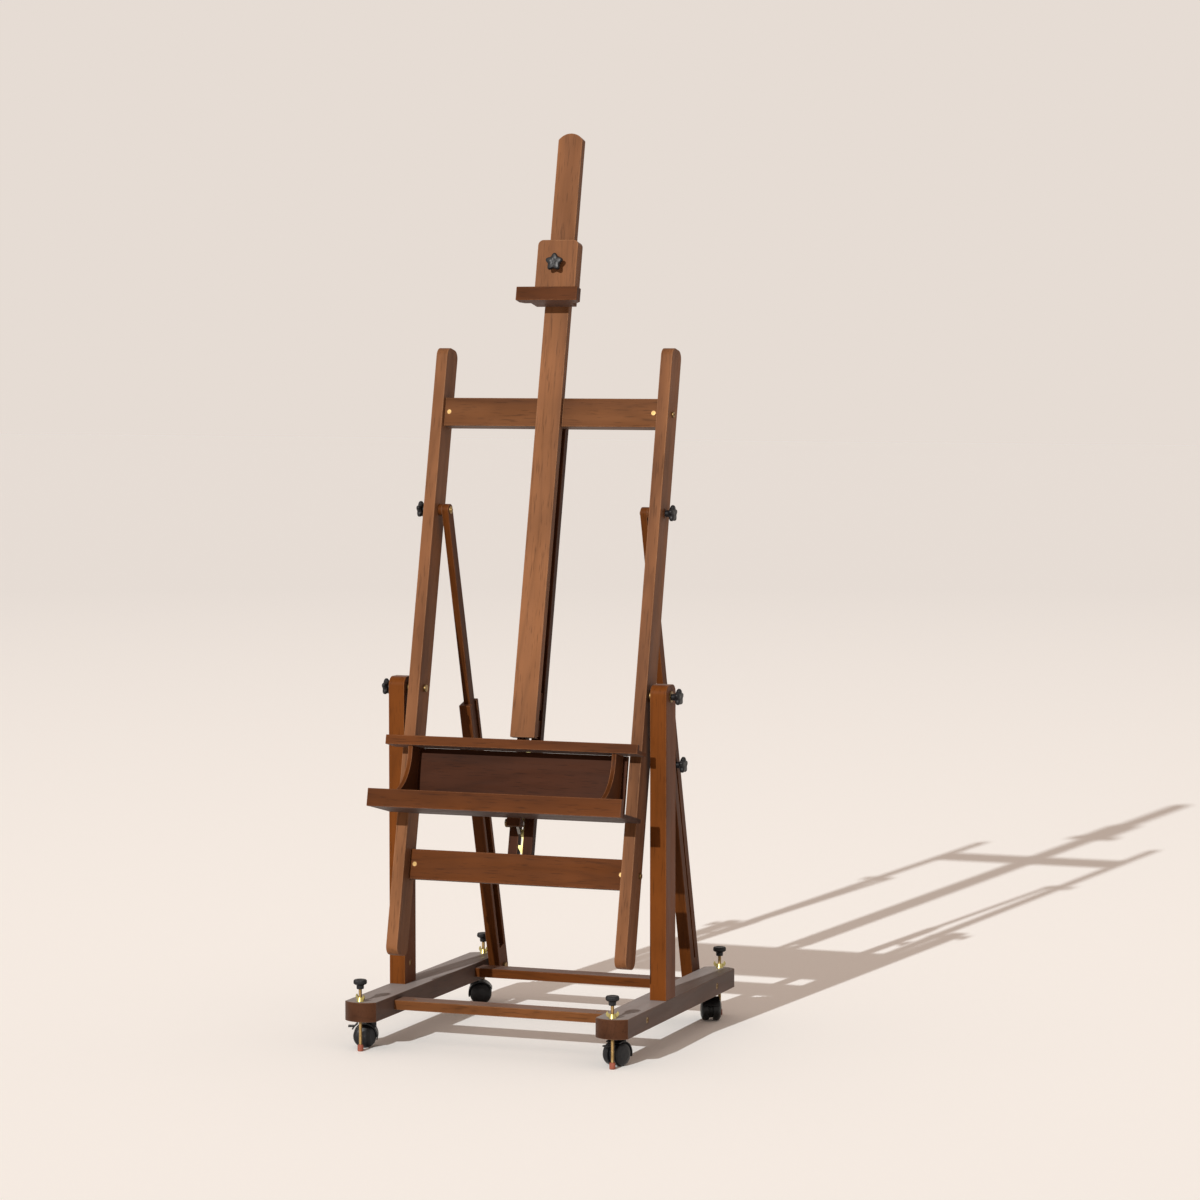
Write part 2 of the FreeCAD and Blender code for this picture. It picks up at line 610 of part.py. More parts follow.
def make_mast_guides():
    """Two blocks on the sliding mast's back; a tongue passes the slot and a keeper plate holds it behind."""
    solids = []
    for low, high in GUIDE_SPANS:
        pad = box(-20, 20, SLIDER_DEPTH, TRACK_FRONT - GAP, low, high)
        tongue = box(-SLOT_HALF + GAP, SLOT_HALF - GAP, TRACK_FRONT - 1, MAST_DEPTH + 1, low, high)
        keeper = box(-15, 15, MAST_DEPTH + GAP, 55, low, high)
        solids.append(pad.fuse([tongue, keeper]).removeSplitter())
    save("mast_guides", solids, MAST_FRAME)


def make_canvas_holder():
    block = box(-HOLDER_HALF, HOLDER_HALF, HOLDER_FRONT, HOLDER_BACK, HOLDER_LOW, HOLDER_HIGH)
    block = rounded(block, 10, ALONG_Y, lambda point: point.z > HOLDER_HIGH - 1)
    block = block.makeFillet(ARRIS, block.Edges)
    groove = SLIDER_HALF + GAP
    block = block.cut(box(-groove, groove, -GAP, HOLDER_BACK + 1, HOLDER_LOW - 1, HOLDER_HIGH + 1))
    hole = rod(CLAMP_BOLT + FIT, Vector(0, HOLDER_FRONT - 1, HOLDER_KNOB_S), Vector(0, 0, HOLDER_KNOB_S))
    save("holder_block", [block.cut(hole)], MAST_FRAME)

    chamfer = 8.0
    outline = [
        Vector(-LEDGE_HALF, LEDGE_FRONT, 0), Vector(LEDGE_HALF, LEDGE_FRONT, 0),
        Vector(LEDGE_HALF, LEDGE_STEP - chamfer, 0), Vector(LEDGE_HALF - chamfer, LEDGE_STEP, 0),
        Vector(HOLDER_HALF, LEDGE_STEP, 0), Vector(HOLDER_HALF, -1, 0),
        Vector(-HOLDER_HALF, -1, 0), Vector(-HOLDER_HALF, LEDGE_STEP, 0),
        Vector(-LEDGE_HALF + chamfer, LEDGE_STEP, 0), Vector(-LEDGE_HALF, LEDGE_STEP - chamfer, 0),
    ]
    ledge = slab(outline, ALONG_Z, LEDGE_LOW, HOLDER_LOW)
    save("holder_ledge", [ledge.makeFillet(ARRIS, ledge.Edges)], MAST_FRAME)

    inner = SLIDER_HALF + 0.5
    outer = inner + 3
    low = HOLDER_LOW + 6
    high = HOLDER_HIGH - 10
    keeper = box(-outer, outer, HOLDER_BACK, SLIDER_DEPTH + 3.5, low, high)
    keeper = rounded(keeper, 2, ALONG_Z, lambda point: point.y > SLIDER_DEPTH)
    keeper = keeper.cut(box(-inner, inner, HOLDER_BACK - 1, SLIDER_DEPTH + 0.4, low - 1, high + 1))
    save("holder_keeper", [keeper], MAST_FRAME)

    frame = turned_to(Vector(0, HOLDER_FRONT - GAP, HOLDER_KNOB_S), Vector(0, -1, 0))
    knob = star_knob(HOLDER_KNOB_RADIUS, CLAMP_BOLT, -HOLDER_FRONT - 1, frame)
    save("holder_knob", [knob], MAST_FRAME)


# Tray: back board on two guides, brackets, trough with a front rail, and the canvas shelf on top

def make_tray():
    back = bar(-TRAY_BACK_HALF, TRAY_BACK_HALF, TRAY_BACK_FRONT, TRAY_BACK_REAR, TRAY_LOW, SHELF_LOW)
    save("tray_back", [back], MAST_FRAME)
    bottom = bar(-SHELF_HALF, SHELF_HALF, RAIL_BACK, TRAY_BACK_FRONT, TRAY_LOW, TRAY_FLOOR)
    save("tray_bottom", [bottom], MAST_FRAME)
    rail = bar(-SHELF_HALF, SHELF_HALF, RAIL_FRONT, RAIL_BACK, RAIL_LOW, RAIL_HIGH)
    save("tray_rail", [rail], MAST_FRAME)

    lip_back = SHELF_FRONT + 10
    outline = [
        Vector(0, SHELF_FRONT, SHELF_LOW), Vector(0, TRAY_BACK_FRONT, SHELF_LOW),
        Vector(0, TRAY_BACK_FRONT, SHELF_HIGH), Vector(0, lip_back, SHELF_HIGH),
        Vector(0, lip_back, SHELF_LIP), Vector(0, SHELF_FRONT, SHELF_LIP),
    ]
    shelf = slab(outline, ALONG_X, -SHELF_HALF, SHELF_HALF)
    save("tray_shelf", [shelf.makeFillet(0.8, shelf.Edges)], MAST_FRAME)

    centre_d = -125.0
    centre_s = 344.0
    radius = 80.0
    shelf_end = Vector(0, -46.5, SHELF_LOW)
    rail_end = Vector(0, RAIL_BACK, 267.4)
    turn = math.radians(-31.2)
    middle = Vector(0, centre_d + radius * math.cos(turn), centre_s + radius * math.sin(turn))
    outline = [
        Vector(0, RAIL_BACK, TRAY_FLOOR), Vector(0, TRAY_BACK_FRONT, TRAY_FLOOR),
        Vector(0, TRAY_BACK_FRONT, SHELF_LOW), shelf_end, (middle, rail_end),
    ]
    bracket = slab(outline, ALONG_X, BRACKET_IN, BRACKET_OUT)
    save("tray_brackets", [bracket, mirrored(bracket)], MAST_FRAME)


def make_tray_guides():
    """Two L-shaped runners that hook behind the track post, and the block that carries the pawl."""
    outer = TRACK_HALF + 11
    inner = TRACK_HALF + 1
    side = box(inner, outer, TRAY_BACK_REAR, 56, 252, 352)
    lip = box(TRACK_HALF - 6, outer, MAST_DEPTH + 0.5, 56, 252, 352)
    guide = side.fuse(lip).removeSplitter()
    block = box(-13, 13, TRAY_BACK_FRONT, TRAY_BACK_REAR, PAWL_S - 7, TRAY_LOW)
    block = block.fuse(box(-13, 13, TRAY_BACK_FRONT, 6, PAWL_S - 7, PAWL_S + 6.5))
    for x in (-9.5, 5.0):
        ear = box(x, x + 4.5, 5, PAWL_D, PAWL_S - 6, PAWL_S + 6)
        block = block.fuse([ear, rod_x(6, x, x + 4.5, PAWL_D, PAWL_S)])
    block = block.removeSplitter().cut(rod_x(2 + FIT, -10, 10, PAWL_D, PAWL_S))
    save("tray_guides", [guide, mirrored(guide), block], MAST_FRAME)


def make_pawl():
    """The pawl hangs on a pin in the ears under the tray, with a torsion spring beside it."""
    arm = box(-4, RACK_SPINE - 0.5, -2.5, 2.5, 0, PAWL_LENGTH)
    hang = Placement(Vector(0, PAWL_D, PAWL_S), Rotation(ALONG_X, PAWL_REST - 90))
    arm = arm.transformed(hang.toMatrix())
    pawl = arm.fuse(rod_x(4.4, -4, 4, PAWL_D, PAWL_S)).cut(rod_x(2 + FIT, -5, 5, PAWL_D, PAWL_S))
    save("ratchet_pawl", [pawl.removeSplitter()], MAST_FRAME)

    pin = rod_x(2, -25, 11, PAWL_D, PAWL_S).fuse(rod_x(3.5, 9.5, 11, PAWL_D, PAWL_S))
    save("pawl_pin", [pin.removeSplitter()], MAST_FRAME)

    coil = ring_x(5.6, 7.8, -24, -10.4, PAWL_D, PAWL_S)
    leg = box(-12.4, -10.4, 6, PAWL_D, PAWL_S - 7, PAWL_S - 5.8)
    save("pawl_spring", [coil.fuse(leg).removeSplitter()], MAST_FRAME)


# Struts, in the strut frame: a grooved lower part hinged on the foot and an upper part that slides in it

def make_struts():
    outline = [
        Vector(0, -STRUT_HALF, 0), (Vector(0, 0, -STRUT_HALF), Vector(0, STRUT_HALF, 0)),
        Vector(0, STRUT_HALF, STRUT_TOP), Vector(0, -STRUT_HALF, STRUT_TOP),
    ]
    lower = slab(outline, ALONG_X, STRUT_IN, STRUT_OUT)
    lower = lower.makeFillet(ARRIS, lower.Edges)
    groove = STRUT_GROOVE_HALF
    lower = lower.cut(box(STRUT_IN - 1, STRUT_WEB_IN, -groove, groove, STRUT_GROOVE_LOW, STRUT_TOP + 1))
    slot_half = STRUT_SLOT_HALF
    slot = box(STRUT_WEB_IN - 1, STRUT_OUT + 1, -slot_half, slot_half, STRUT_GROOVE_LOW, STRUT_SLOT_HIGH)
    lower = lower.cut(slot).cut(rod_x(PIVOT_BOLT + FIT, STRUT_IN - 1, STRUT_OUT + 1, 0, 0))
    save_pair("strut_lower", [lower], STRUT_FRAME)

    half = EXTENSION_HALF
    outline = [
        Vector(0, -half, EXTENSION_LOW), (Vector(0, 0, EXTENSION_LOW - half), Vector(0, half, EXTENSION_LOW)),
        Vector(0, half, EXTENSION_PIN), (Vector(0, 0, EXTENSION_PIN + half), Vector(0, -half, EXTENSION_PIN)),
    ]
    upper = slab(outline, ALONG_X, EXTENSION_IN, EXTENSION_OUT)
    upper = upper.makeFillet(ARRIS, upper.Edges)
    for t in (CLAMP_T, EXTENSION_PIN):
        upper = upper.cut(rod_x(CLAMP_BOLT + FIT, EXTENSION_IN - 1, EXTENSION_OUT + 1, 0, t))
    save_pair("strut_upper", [upper], STRUT_FRAME)


def make_strut_clamp_knobs():
    """Clamp knobs outside the lower struts, whose bolts pass the slots into the upper struts."""
    clamp_x = STRUT_OUT + GAP
    for name, side in (("left", -1), ("right", 1)):
        frame = turned_to(Vector(side * clamp_x, 0, CLAMP_T), Vector(side, 0, 0))
        knob = star_knob(KNOB_RADIUS, CLAMP_BOLT, clamp_x - EXTENSION_IN + 1, frame)
        save(f"strut_clamp_knob_{name}", [knob], STRUT_FRAME)


os.makedirs("parts", exist_ok=True)
make_feet()
make_base_crossbars()
make_posts()
make_base_bolts()
make_hinge_bolts()
make_tilt_knobs()
make_levellers()
make_casters()
make_masts()
make_frame_crossbars()
make_track_post()
make_ratchet_rack()
make_frame_bolts()
make_strut_spacers()
make_strut_top_knobs()
make_mast_lock_knob()
make_sliding_mast()
make_mast_guides()
make_canvas_holder()
make_tray()
make_tray_guides()
make_pawl()
make_struts()
make_strut_clamp_knobs()
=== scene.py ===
"""A wooden H-frame artist easel: finishes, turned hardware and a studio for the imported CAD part."""
import math

import bpy
import numpy as np
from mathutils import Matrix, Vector


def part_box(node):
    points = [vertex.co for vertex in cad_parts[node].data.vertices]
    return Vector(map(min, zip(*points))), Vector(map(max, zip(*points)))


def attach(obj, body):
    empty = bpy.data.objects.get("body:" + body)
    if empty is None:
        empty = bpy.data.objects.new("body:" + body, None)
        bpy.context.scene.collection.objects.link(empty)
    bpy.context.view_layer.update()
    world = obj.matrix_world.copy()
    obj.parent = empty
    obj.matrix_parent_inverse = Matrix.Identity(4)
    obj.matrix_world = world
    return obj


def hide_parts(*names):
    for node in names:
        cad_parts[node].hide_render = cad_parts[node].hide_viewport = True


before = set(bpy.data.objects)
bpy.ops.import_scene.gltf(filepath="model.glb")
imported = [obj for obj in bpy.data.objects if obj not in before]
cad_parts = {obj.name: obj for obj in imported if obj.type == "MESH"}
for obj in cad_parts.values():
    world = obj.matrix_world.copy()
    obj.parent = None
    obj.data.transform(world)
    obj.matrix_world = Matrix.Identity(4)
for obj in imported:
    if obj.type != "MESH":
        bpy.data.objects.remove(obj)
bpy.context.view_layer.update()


# Camera and studio. A long lens looks at the easel from its front right and a little above. The
# floor is a plain pale sweep of paper, its colour painted darker with distance as the shade of the
# sweep, so that it meets the backdrop's tone. One low lamp in front throws the shadows to the back,
# and warm room light fills them.

LENS = 113.7
CAMERA_PLACE = (2.518, -6.368, 1.2554)
CAMERA_DIP = 3.88
CAMERA_TURN = 20.73
camera_data = bpy.data.cameras.new("camera")
camera_data.lens = LENS
camera_data.sensor_width = 36.0
camera_data.clip_end = 60.0
camera = bpy.data.objects.new("camera", camera_data)
camera.location = CAMERA_PLACE
camera.rotation_euler = (math.radians(90 - CAMERA_DIP), 0, math.radians(CAMERA_TURN))
bpy.context.collection.objects.link(camera)
bpy.context.scene.camera = camera

PAPER = (0.93, 0.975, 0.985)
# The far paper's colour is painted darker than the near paper's, as shade.
SHADED_FAR_PAPER = (0.794, 0.835, 0.851)
SWEEP = 14.0
ROOM_LIGHT = (0.53, 0.40, 0.33, 1)
BACKDROP = (0.791, 0.716, 0.658, 1)


def new_material(name):
    """An empty node material with its shader and output."""
    material = bpy.data.materials.new(name)
    material.use_nodes = True
    nodes = material.node_tree.nodes
    return material, nodes, material.node_tree.links, nodes["Principled BSDF"]


def ramp(nodes, links, source, stops):
    """A colour ramp fed by one socket; each stop is its place and its grey or colour."""
    node = nodes.new("ShaderNodeValToRGB")
    for spare in range(len(stops) - 2):
        node.color_ramp.elements.new(0.5)
    for element, (place, tone) in zip(node.color_ramp.elements, stops):
        element.position = place
        element.color = (*tone, 1) if isinstance(tone, tuple) else (tone, tone, tone, 1)
    links.new(source, node.inputs[0])
    return node.outputs["Color"]


paper, nodes, links, shader = new_material("studio_paper")
away = nodes.new("ShaderNodeVectorMath")
away.operation = "LENGTH"
links.new(nodes.new("ShaderNodeTexCoord").outputs["Object"], away.inputs[0])
along_sweep = nodes.new("ShaderNodeMath")
along_sweep.operation = "DIVIDE"
links.new(away.outputs["Value"], along_sweep.inputs[0])
along_sweep.inputs[1].default_value = SWEEP
# The paper's colour is painted darker with distance, as shade where the sweep gets less light.
painted_falloff = ramp(nodes, links, along_sweep.outputs[0], [(0.08, PAPER), (0.90, SHADED_FAR_PAPER)])
links.new(painted_falloff, shader.inputs["Base Color"])
shader.inputs["Roughness"].default_value = 0.9
shader.inputs["Specular IOR Level"].default_value = 0.1

FLOOR_REACH = 40.0
floor_mesh = bpy.data.meshes.new("studio_floor")
floor_signs = ((-1, -1), (1, -1), (1, 1), (-1, 1))
floor_corners = [(x * FLOOR_REACH, y * FLOOR_REACH, 0) for x, y in floor_signs]
floor_mesh.from_pydata(floor_corners, [], [(0, 1, 2, 3)])
floor_mesh.materials.append(paper)
studio_floor = bpy.data.objects.new("studio_floor", floor_mesh)
bpy.context.collection.objects.link(studio_floor)

# Diffuse rays gather the room's light; every other ray sees the backdrop.
world = bpy.data.worlds.new("studio")
world.use_nodes = True
nodes = world.node_tree.nodes
links = world.node_tree.links
backdrop = nodes["Background"]
backdrop.inputs["Color"].default_value = BACKDROP
room = nodes.new("ShaderNodeBackground")
room.inputs["Color"].default_value = ROOM_LIGHT
which_ray = nodes.new("ShaderNodeLightPath")
choice = nodes.new("ShaderNodeMixShader")
links.new(which_ray.outputs["Is Diffuse Ray"], choice.inputs[0])
links.new(backdrop.outputs[0], choice.inputs[1])
links.new(room.outputs[0], choice.inputs[2])
links.new(choice.outputs[0], nodes["World Output"].inputs["Surface"])
bpy.context.scene.world = world
bpy.context.scene.view_settings.view_transform = "Standard"

LAMP_AZIMUTH = math.radians(5.8)
LAMP_HEIGHT = math.radians(24.0)
LAMP_STRENGTH = 3.6
LAMP_COLOUR = (1.0, 0.98, 0.95)
LAMP_ANGLE = math.radians(0.6)
lamp_data = bpy.data.lights.new("key_lamp", "SUN")
lamp_data.energy = LAMP_STRENGTH
lamp_data.color = LAMP_COLOUR
lamp_data.angle = LAMP_ANGLE
key_lamp = bpy.data.objects.new("key_lamp", lamp_data)
beam = Vector((
    math.sin(LAMP_AZIMUTH) * math.cos(LAMP_HEIGHT),
    math.cos(LAMP_AZIMUTH) * math.cos(LAMP_HEIGHT),
    -math.sin(LAMP_HEIGHT),
))
key_lamp.rotation_euler = beam.to_track_quat("-Z", "Y").to_euler()
bpy.context.collection.objects.link(key_lamp)


# Wooden boards. Every board is planed beech, stained walnut and lacquered satin, with its grain
# along its length. The stain took unevenly from board to board, and is rubbed paler at the arrises.
# The darkest stain is set to the tray back as it looks in shade, so it is partly painted shade.
# The feet have the dullest sheen, from dust.

MAST_LEAN = math.radians(12.68)
STRUT_LEAN = math.radians(15.73)
GRAIN_TURNS = {
    "across": (0, math.pi / 2, 0),
    "back": (-math.pi / 2, 0, 0),
    "up": (0, 0, 0),
    "mast": (-MAST_LEAN, 0, 0),
    "strut": (STRUT_LEAN, 0, 0),
}
# Each stain is its dark band, its middle tone, its rubbed tone and its sheen.
STAINS = {
    "pale": ((0.116, 0.047, 0.0200), (0.182, 0.077, 0.0320), (0.34, 0.18, 0.095), 0.12),
    "middling": ((0.086, 0.031, 0.0100), (0.134, 0.051, 0.0165), (0.28, 0.14, 0.07), 0.12),
    "warm": ((0.052, 0.0150, 0.0030), (0.086, 0.0250, 0.0045), (0.21, 0.09, 0.042), 0.12),
    "orange": ((0.080, 0.0225, 0.0035), (0.122, 0.0350, 0.0055), (0.25, 0.10, 0.035), 0.18),
    "deep": ((0.034, 0.0130, 0.0060), (0.060, 0.0240, 0.0115), (0.17, 0.085, 0.048), 0.45),
    # The dark stain is matched to the tray back in shade, so its darkness is partly painted shade.
    "dark": ((0.024, 0.0075, 0.0026), (0.046, 0.0138, 0.0050), (0.14, 0.060, 0.030), 0.05),
}


def noise(nodes, links, vector, scale, detail, roughness=0.5):
    """A noise pattern on a vector."""
    node = nodes.new("ShaderNodeTexNoise")
    node.inputs["Scale"].default_value = scale
    node.inputs["Detail"].default_value = detail
    node.inputs["Roughness"].default_value = roughness
    links.new(vector, node.inputs["Vector"])
    return node.outputs["Fac"]


def grain_space(nodes, links, grain, stretch, seed):
    """Object coordinates turned so that Z is the grain, and drawn out along it."""
    place = nodes.new("ShaderNodeTexCoord")
    turn = nodes.new("ShaderNodeMapping")
    turn.vector_type = "TEXTURE"
    turn.inputs["Location"].default_value = (seed * 0.37, seed * 0.19, seed * 0.53)
    turn.inputs["Rotation"].default_value = GRAIN_TURNS[grain]
    turn.inputs["Scale"].default_value = (1, 1, stretch)
    links.new(place.outputs["Object"], turn.inputs["Vector"])
    return turn.outputs["Vector"]


def blended(nodes, links, mode, factor, first, second):
    """Two colours mixed; the factor is a number or a socket."""
    node = nodes.new("ShaderNodeMix")
    node.data_type = "RGBA"
    node.blend_type = mode
    if isinstance(factor, float):
        node.inputs["Factor"].default_value = factor
    else:
        links.new(factor, node.inputs["Factor"])
    for socket, value in ((node.inputs[6], first), (node.inputs[7], second)):
        if isinstance(value, tuple):
            socket.default_value = (*value, 1)
        else:
            links.new(value, socket)
    return node.outputs[2]


def stained_beech(name, grain, stain, seed):
    """Walnut-stained beech: broad bands, growth lines, short dark flecks and rubbed arrises."""
    material, nodes, links, shader = new_material(name)
    dark, middle, worn, sheen = STAINS[stain]
    board = grain_space(nodes, links, grain, 9.0, seed)
    bands = noise(nodes, links, board, 16.0, 4.0, 0.55)
    light = tuple(1.22 * c for c in middle)
    base = ramp(nodes, links, bands, [(0.28, dark), (0.52, middle), (0.80, light)])

    rings = nodes.new("ShaderNodeMath")
    rings.operation = "PINGPONG"
    spread = nodes.new("ShaderNodeMath")
    spread.operation = "MULTIPLY"
    links.new(noise(nodes, links, board, 9.0, 1.0), spread.inputs[0])
    spread.inputs[1].default_value = 26.0
    links.new(spread.outputs[0], rings.inputs[0])
    rings.inputs[1].default_value = 1.0
    lines = ramp(nodes, links, rings.outputs[0], [(0.0, 0.70), (0.35, 1.0), (1.0, 1.0)])
    base = blended(nodes, links, "MULTIPLY", 0.45, base, lines)

    fleck_space = grain_space(nodes, links, grain, 14.0, seed + 3)
    speckle = noise(nodes, links, fleck_space, 420.0, 2.0)
    flecks = ramp(nodes, links, speckle, [(0.30, 0.55), (0.42, 1.0)])
    base = blended(nodes, links, "MULTIPLY", 0.75, base, flecks)

    uneven = nodes.new("ShaderNodeTexCoord").outputs["Object"]
    cloud = noise(nodes, links, uneven, 7.0, 3.0)
    patches = ramp(nodes, links, cloud, [(0.3, 0.80), (0.7, 1.12)])
    base = blended(nodes, links, "MULTIPLY", 1.0, base, patches)

    rounding = nodes.new("ShaderNodeBevel")
    rounding.samples = 6
    rounding.inputs["Radius"].default_value = 0.0026
    plain = nodes.new("ShaderNodeNewGeometry")
    facing = nodes.new("ShaderNodeVectorMath")
    facing.operation = "DOT_PRODUCT"
    links.new(rounding.outputs["Normal"], facing.inputs[0])
    links.new(plain.outputs["True Normal"], facing.inputs[1])
    rub = ramp(nodes, links, facing.outputs["Value"], [(0.90, 1.0), (0.99, 0.0)])
    wear = noise(nodes, links, uneven, 38.0, 4.0, 0.65)
    worn_spots = ramp(nodes, links, wear, [(0.32, 0.30), (0.58, 1.0)])
    rub = blended(nodes, links, "MULTIPLY", 1.0, rub, worn_spots)
    base = blended(nodes, links, "MIX", rub, base, worn)
    links.new(base, shader.inputs["Base Color"])

    lacquer = noise(nodes, links, board, 60.0, 3.0)
    gloss = ramp(nodes, links, lacquer, [(0.3, 0.40), (0.7, 0.54)])
    links.new(gloss, shader.inputs["Roughness"])
    shader.inputs["Specular IOR Level"].default_value = 0.05
    shader.inputs["Sheen Weight"].default_value = sheen
    shader.inputs["Sheen Roughness"].default_value = 0.35

    relief = nodes.new("ShaderNodeBump")
    relief.inputs["Strength"].default_value = 0.18
    relief.inputs["Distance"].default_value = 0.0004
    links.new(flecks, relief.inputs["Height"])
    links.new(relief.outputs["Normal"], shader.inputs["Normal"])
    return material


def dress(node, material):
    """Give a carried-over CAD node its finish."""
    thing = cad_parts[node]
    for slot in thing.material_slots:
        slot.material = material


BOARDS = {
    "foot_left": ("back", "deep"), "foot_right": ("back", "deep"),
    "base_crossbar_front": ("across", "middling"),
    "base_crossbar_rear": ("across", "warm"),
    "post_left": ("up", "orange"), "post_right": ("up", "orange"),
    "mast_left": ("mast", "pale"), "mast_right": ("mast", "pale"),
    "upper_crossbar": ("across", "middling"), "lower_crossbar": ("across", "warm"),
    "track_post": ("mast", "dark"), "strut_spacers": ("across", "warm"),
    "sliding_mast": ("mast", "pale"), "mast_guides": ("mast", "warm"),
    "holder_block": ("mast", "pale"), "holder_ledge": ("across", "warm"),
    # The tray back's dark stain is partly painted shade.
    "tray_back": ("across", "dark"), "tray_bottom": ("across", "dark"),
    "tray_rail": ("across", "warm"), "tray_shelf": ("across", "warm"),
    "tray_brackets": ("mast", "warm"), "tray_guides": ("mast", "dark"),
    "strut_lower_left": ("strut", "warm"), "strut_lower_right": ("strut", "warm"),
    "strut_upper_left": ("strut", "warm"), "strut_upper_right": ("strut", "warm"),
}
for seed, (node, (grain, stain)) in enumerate(BOARDS.items()):
    dress(node, stained_beech(f"{node}_wood", grain, stain, seed))


# Metal fittings. The bolts, barrel nuts and hinge pins are brassed, and the rack and wing nuts are
# zinc plated yellow. The keeper strap, the pawl and its pin are bare steel.

def plated_metal(name, tones, roughness, grit):
    """A plated metal: its tone wanders between two colours, with fine handling scratches."""
    material, nodes, links, shader = new_material(name)
    place = nodes.new("ShaderNodeTexCoord").outputs["Object"]
    tint = noise(nodes, links, place, 55.0, 4.0, 0.6)
    plating = ramp(nodes, links, tint, [(0.32, tones[0]), (0.68, tones[1])])
    links.new(plating, shader.inputs["Base Color"])
    shader.inputs["Metallic"].default_value = 1.0
    worn = noise(nodes, links, place, 300.0, 5.0, 0.7)
    gloss = ramp(nodes, links, worn, [(0.3, roughness - 0.08), (0.7, roughness + 0.12)])
    links.new(gloss, shader.inputs["Roughness"])
    relief = nodes.new("ShaderNodeBump")
    relief.inputs["Strength"].default_value = grit
    relief.inputs["Distance"].default_value = 0.0002
    links.new(worn, relief.inputs["Height"])
    links.new(relief.outputs["Normal"], shader.inputs["Normal"])
    return material


brass = plated_metal("brass", ((0.20, 0.125, 0.046), (0.34, 0.225, 0.095)), 0.42, 0.12)
yellow_zinc = plated_metal("yellow_zinc", ((0.44, 0.36, 0.13), (0.56, 0.50, 0.22)), 0.36, 0.10)
steel = plated_metal("steel", ((0.34, 0.33, 0.31), (0.46, 0.45, 0.43)), 0.38, 0.15)

for node in ("base_bolts", "hinge_bolts", "frame_bolts"):
    dress(node, brass)
dress("ratchet_rack", yellow_zinc)
for node in ("holder_keeper", "ratchet_pawl", "pawl_pin"):
    dress(node, steel)


# Star knobs. Each is a moulded black plastic knob with five lobes on the end of a brassed screw.
# The knobs on the posts turn on the tilt bolts, so they have no screw of their own.

def moulded_plastic(name, tone, roughness):
    """Black moulded plastic: fine spark-eroded grain, a little dust, softly uneven gloss."""
    material, nodes, links, shader = new_material(name)
    place = nodes.new("ShaderNodeTexCoord").outputs["Object"]
    dust = noise(nodes, links, place, 90.0, 5.0, 0.65)
    lighter = tuple(1.6 * c + 0.002 for c in tone)
    skin = ramp(nodes, links, dust, [(0.45, tone), (0.80, lighter)])
    links.new(skin, shader.inputs["Base Color"])
    uneven = noise(nodes, links, place, 160.0, 3.0)
    gloss = ramp(nodes, links, uneven, [(0.3, roughness - 0.06), (0.7, roughness + 0.1)])
    links.new(gloss, shader.inputs["Roughness"])
    shader.inputs["Specular IOR Level"].default_value = 0.28
    relief = nodes.new("ShaderNodeBump")
    relief.inputs["Strength"].default_value = 0.16
    relief.inputs["Distance"].default_value = 0.00025
    links.new(noise(nodes, links, place, 1600.0, 2.0), relief.inputs["Height"])
    links.new(relief.outputs["Normal"], shader.inputs["Normal"])
    return material


black_plastic = moulded_plastic("black_plastic", (0.006, 0.006, 0.007), 0.40)
black_nylon = moulded_plastic("black_nylon", (0.007, 0.007, 0.008), 0.34)


def grid_faces(rows, columns):
    """Quads over a grid of points whose columns wrap round."""
    row, column = np.meshgrid(np.arange(rows - 1), np.arange(columns), indexing="ij")
    next_row = row + 1
    next_column = (column + 1) % columns
    quads = np.stack([
        row * columns + column, row * columns + next_column,
        next_row * columns + next_column, next_row * columns + column,
    ], axis=-1)
    return quads.reshape(-1, 4)


def surface(name, points, quads, material, body, caps=()):
    """A smooth-shaded piece from points and quads, with flat end caps, riding on a body."""
    mesh = bpy.data.meshes.new(name)
    mesh.from_pydata(points.tolist(), [], quads.tolist() + [list(cap) for cap in caps])
    mesh.materials.append(material)
    mesh.shade_smooth()
    thing = bpy.data.objects.new(name, mesh)
    bpy.context.collection.objects.link(thing)
    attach(thing, body)
    return thing


def axis_frame(axis):
    """Three unit vectors whose third lies along an axis."""
    third = np.array(axis, float) / np.linalg.norm(axis)
    helper = np.array([0, 0, 1.0]) if abs(third[2]) < 0.9 else np.array([0, 1.0, 0])
    first = np.cross(helper, third)
    first /= np.linalg.norm(first)
    return first, np.cross(third, first), third


def carried_round(profile, columns, centre, axis, lobing=None):
    """A turned (radius, height) profile: point = centre + r cos a u + r sin a v + h w."""
    first, second, third = axis_frame(axis)
    profile = np.array(profile, float)
    turn = np.linspace(0, 2 * math.pi, columns, endpoint=False)
    radius = np.repeat(profile[:, :1], columns, axis=1)
    if lobing is not None:
        radius = radius * lobing(profile[:, 1:2], turn[None, :])
    around = np.cos(turn)[:, None] * first + np.sin(turn)[:, None] * second
    points = np.array(centre) + radius[:, :, None] * around[None] + profile[:, 1:2, None] * third
    return points.reshape(-1, 3)


def softened(corners, radius, steps=4):
    """A profile with rounded corners: (1-t)^2 start + 2t(1-t) corner + t^2 stop, at each corner."""
    corners = np.array(corners, float)
    out = [corners[0]]
    for before, here, after in zip(corners[:-2], corners[1:-1], corners[2:]):
        cut_in = min(radius, 0.45 * np.linalg.norm(before - here))
        cut_out = min(radius, 0.45 * np.linalg.norm(after - here))
        start = here + (before - here) / np.linalg.norm(before - here) * cut_in
        stop = here + (after - here) / np.linalg.norm(after - here) * cut_out
        for t in np.linspace(0, 1, steps):
            out.append((1 - t) ** 2 * start + 2 * t * (1 - t) * here + t ** 2 * stop)
    out.append(corners[-1])
    return np.array(out)


